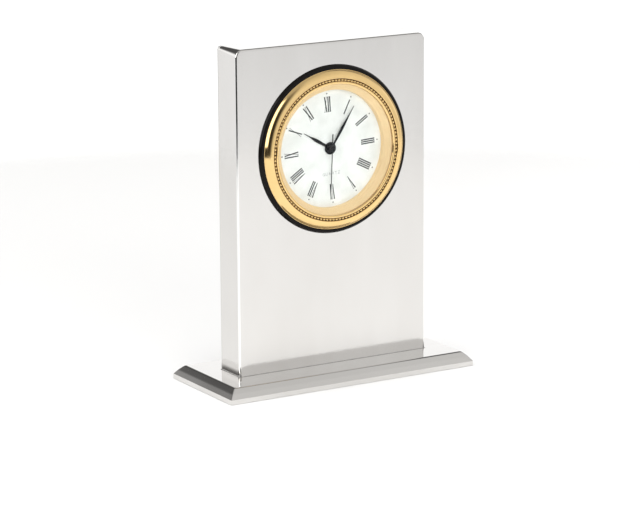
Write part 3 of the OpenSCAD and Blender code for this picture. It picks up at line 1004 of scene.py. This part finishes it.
s_prof = [
    (0.31, 1.65), (1.15, 1.65), (1.2, 1.7), (1.2, 2.18), (1.12, 2.30), (1.0, 2.35), (0.74, 2.35), (0.62, 2.28), (0.5, 2.24),
    (0.0, 2.24), (0.0, 2.18), (0.31, 2.18),
]
hand(
    "second_hand_blade", "second_hand", "second_arbor", SEC_A,
    [(-5.6, 0.24), (-2, 0.2), (0.4, 0.2), (2, 0.19), (12, 0.16), (17.3, 0.11)],
    1.85, 1.96, s_prof, ridge=0.01,
)

# ---------------------------------------------------------------- felt and the carried-over nodes


def felt_pad():
    lo, hi = box_mm("base_felt")
    hx, hy, t = (hi[0] - lo[0]) / 2, (hi[1] - lo[1]) / 2, hi[2] - lo[2]
    s = Shape()
    prof = rounded([(4.0, 0.0), (0.0, 0.0), (0.0, t), (4.0, t)], [0, 0.3, 0.05, 0], n=4)
    rows = []
    for o, z in prof:
        k = len(s.v)
        s.v += rect_ring(hx - o, hy - o, 1.2, z + 0.0, n=5)
        rows.append(list(range(k, len(s.v))))
    m = len(rows[0])
    for a, b in zip(rows, rows[1:]):
        for i in range(m):
            j = (i + 1) % m
            s.f.append((a[i], a[j], b[j], b[i]))
    s.f.append(tuple(rows[0]))
    s.f.append(tuple(rows[-1]))
    return piece("felt_pad", s.v, s.f, "felt", replaces=("base_felt",), sharp=50)


felt_pad()

slots = {sp["node"]: sp["material_slot"] for sp in frame["record"]["subparts"]}
for name, ob in frame["nodes"].items():
    m = M[slots[name]] if slots[name] in M else M["movement_plastic"]
    if not ob.data.materials:
        ob.data.materials.append(m)
    for sl in ob.material_slots:
        sl.material = m

# ---------------------------------------------------------------- floor, light and camera

scene = bpy.context.scene
scene.view_settings.view_transform = "Standard"
scene.view_settings.look = "None"
scene.view_settings.exposure = 0.0
scene.view_settings.gamma = 1.0


def floor():
    """A round sheet of pale paper that fades out at its edge."""
    me = bpy.data.meshes.new("floor")
    n, rings = 96, [0.0, 0.05, 0.1, 0.2, 0.3, 0.4, 0.54]
    v, f = [(0, 0, 0)], []
    for r in rings[1:]:
        for i in range(n):
            a = 2 * PI * i / n
            v.append((r * math.cos(a), r * math.sin(a), 0))
    for i in range(n):
        f.append((0, 1 + i, 1 + (i + 1) % n))
    for k in range(len(rings) - 2):
        for i in range(n):
            j = (i + 1) % n
            f.append((1 + k * n + i, 1 + (k + 1) * n + i, 1 + (k + 1) * n + j, 1 + k * n + j))
    me.from_pydata(v, [], f)
    ob = bpy.data.objects.new("floor", me)
    scene.collection.objects.link(ob)
    m, nt, out = new_material("floor_paper_painted_falloff")
    nn, link = nt.nodes, nt.links
    b = nn.new("ShaderNodeBsdfPrincipled")
    b.inputs["Roughness"].default_value = 0.9
    b.inputs["Specular IOR Level"].default_value = 0.1
    tc = nn.new("ShaderNodeTexCoord")
    # painted light falloff: the paper's tone is lightest round the clock and greyer further out, in front and to the
    # right and behind it
    dot = nn.new("ShaderNodeVectorMath")
    dot.operation = "DOT_PRODUCT"
    dot.inputs[1].default_value = (0.51, -0.86, 0.0)
    link.new(tc.outputs["Object"], dot.inputs[0])
    ramp = nn.new("ShaderNodeValToRGB")
    e = ramp.color_ramp.elements
    e[0].position, e[0].color = 0.0, (0.735, 0.735, 0.73, 1)
    e[1].position, e[1].color = 1.0, (0.735, 0.733, 0.728, 1)
    for at, v in ((0.38, 0.735), (0.50, 0.785), (0.62, 0.785), (0.86, 0.765)):
        x = e.new(at)
        x.color = (v, v * 0.998, v * 0.995, 1)
    mr = nn.new("ShaderNodeMapRange")
    mr.inputs["From Min"].default_value = -0.50
    mr.inputs["From Max"].default_value = 0.50
    link.new(dot.outputs["Value"], mr.inputs["Value"])
    link.new(mr.outputs["Result"], ramp.inputs["Fac"])
    link.new(ramp.outputs["Color"], b.inputs["Base Color"])
    length = nn.new("ShaderNodeVectorMath")
    length.operation = "LENGTH"
    link.new(tc.outputs["Object"], length.inputs[0])
    fade = nn.new("ShaderNodeMapRange")
    fade.interpolation_type = "SMOOTHSTEP"
    fade.inputs["From Min"].default_value = 0.44
    fade.inputs["From Max"].default_value = 0.53
    link.new(length.outputs["Value"], fade.inputs["Value"])
    tr = nn.new("ShaderNodeBsdfTransparent")
    mix = nn.new("ShaderNodeMixShader")
    link.new(fade.outputs["Result"], mix.inputs["Fac"])
    link.new(b.outputs["BSDF"], mix.inputs[1])
    link.new(tr.outputs["BSDF"], mix.inputs[2])
    link.new(mix.outputs["Shader"], out.inputs["Surface"])
    me.materials.append(m)


floor()


def world():
    """A studio in the round: a bright panel on the left, a mid-grey wall on the right, a dark gap between."""
    w = bpy.data.worlds.new("studio")
    scene.world = w
    w.use_nodes = True
    nt = w.node_tree
    nt.nodes.clear()
    n, link = nt.nodes, nt.links
    out = n.new("ShaderNodeOutputWorld")
    bg = n.new("ShaderNodeBackground")
    tc = n.new("ShaderNodeTexCoord")
    sep = n.new("ShaderNodeSeparateXYZ")
    link.new(tc.outputs["Generated"], sep.inputs[0])

    def calc(op, a, b=None):
        m = n.new("ShaderNodeMath")
        m.operation = op
        for k, x in enumerate((a, b)):
            if x is None:
                continue
            if isinstance(x, (int, float)):
                m.inputs[k].default_value = x
            else:
                link.new(x, m.inputs[k])
        return m.outputs[0]

    # azimuth 0 is towards the reader, positive to the reader's right; both in degrees
    azimuth = calc("MULTIPLY", calc("ARCTAN2", sep.outputs["X"], calc("MULTIPLY", sep.outputs["Y"], -1.0)), 180 / PI)
    height = calc("MULTIPLY", calc("ARCSINE", sep.outputs["Z"]), 180 / PI)

    def step(x, lo, hi):
        m = n.new("ShaderNodeMapRange")
        m.interpolation_type = "SMOOTHSTEP"
        m.inputs["From Min"].default_value = lo
        m.inputs["From Max"].default_value = hi
        link.new(x, m.inputs["Value"])
        return m.outputs["Result"]

    def band(x, a, b, sa, sb):
        up = step(x, a - sa / 2, a + sa / 2)
        down = calc("SUBTRACT", 1.0, step(x, b - sb / 2, b + sb / 2))
        return calc("MULTIPLY", up, down)

    def grade(stops):
        mr = n.new("ShaderNodeMapRange")
        mr.inputs["From Min"].default_value = -90.0
        mr.inputs["From Max"].default_value = 90.0
        link.new(height, mr.inputs["Value"])
        ramp = n.new("ShaderNodeValToRGB")
        el = ramp.color_ramp.elements
        el[0].position, el[1].position = 0.0, 1.0
        for i, (deg, v) in enumerate(stops):
            e = el[0] if i == 0 else el[-1] if i == len(stops) - 1 else el.new((deg + 90) / 180)
            e.position = (deg + 90) / 180
            warm = (1.0, 0.99, 0.975) if v < 0.8 else (1.0, 1.0, 1.0)
            e.color = (v * warm[0], v * warm[1], v * warm[2], 1)
        link.new(mr.outputs["Result"], ramp.inputs["Fac"])
        return ramp.outputs["Color"]

    def over(color, mask, top):
        mx = n.new("ShaderNodeMix")
        mx.data_type = "RGBA"
        link.new(mask, mx.inputs["Factor"])
        link.new(color, mx.inputs["A"])
        if isinstance(top, tuple):
            mx.inputs["B"].default_value = (*top, 1)
        else:
            link.new(top, mx.inputs["B"])
        return mx.outputs["Result"]

    color = grade([(-90, 1.0), (-2, 1.05), (3, 1.25), (15, 1.25), (23, 0.26), (30, 0.08), (60, 0.20), (72, 0.5), (90, 0.5)])
    right = grade([(-90, 1.08), (-11.5, 1.08), (-10.0, 1.0), (-8.4, 0.85), (-4, 0.82), (10, 0.92), (45, 0.76), (62, 0.68), (75, 0.55), (90, 0.5)])
    dark = grade([(-90, 0.04), (25, 0.04), (40, 0.14), (52, 0.30), (62, 0.5), (78, 0.5), (90, 0.5)])
    front = over(dark, step(azimuth, -24, 8), right)
    color = over(color, band(azimuth, -104, 88, 8, 16), front)
    color = over(color, calc("MULTIPLY", band(azimuth, -101, -53, 5, 5), band(height, 0.5, 54, 2, 5)), (2.5, 2.48, 2.43))
    # what the camera itself sees behind the object is plain white paper
    lp = n.new("ShaderNodeLightPath")
    color = over(color, lp.outputs["Is Camera Ray"], (1.15, 1.15, 1.15))
    link.new(color, bg.inputs["Color"])
    link.new(bg.outputs["Background"], out.inputs["Surface"])


world()


def area(name, loc, target, size, power, color=(1, 1, 1), glossy=True, shadow=True):
    ld = bpy.data.lights.new(name, "AREA")
    ld.shape = "RECTANGLE"
    ld.size, ld.size_y = size
    ld.energy = power
    ld.color = color
    ob = bpy.data.objects.new(name, ld)
    scene.collection.objects.link(ob)
    ob.location = loc
    d = Vector(target) - Vector(loc)
    ob.rotation_euler = d.to_track_quat("-Z", "Y").to_euler()
    ob.visible_camera = False
    ob.visible_glossy = glossy
    if not shadow:
        ld.use_shadow = False
    return ob


area("key_overhead", (-0.05, 0.05, 1.7), (0, 0, 0.02), (1.2, 1.2), 23.5, glossy=False)
area("fill_front", (-0.25, -1.25, 0.42), (0, 0, 0.09), (0.9, 0.9), 9.8, glossy=False)

cam = bpy.data.cameras.new("camera")
cam.sensor_fit = "HORIZONTAL"
cam.sensor_width = 36.0
cam.lens = 2919.42 * 36.0 / 640.0
cam.clip_start = 0.01
cam.clip_end = 20.0
yaw, pitch, roll = 0.5382, 0.2249, -0.0062
fwd = Vector((math.sin(yaw) * math.cos(pitch), math.cos(yaw) * math.cos(pitch), -math.sin(pitch)))
right = Vector((math.cos(yaw), -math.sin(yaw), 0.0))
up = right.cross(fwd)
r2 = math.cos(roll) * right + math.sin(roll) * up
u2 = -math.sin(roll) * right + math.cos(roll) * up
co = bpy.data.objects.new("camera", cam)
scene.collection.objects.link(co)
co.matrix_world = Matrix(
    (
        (r2[0], u2[0], -fwd[0], -0.56317),
        (r2[1], u2[1], -fwd[1], -0.94071),
        (r2[2], u2[2], -fwd[2], 0.29702),
        (0, 0, 0, 1),
    )
)
scene.camera = co
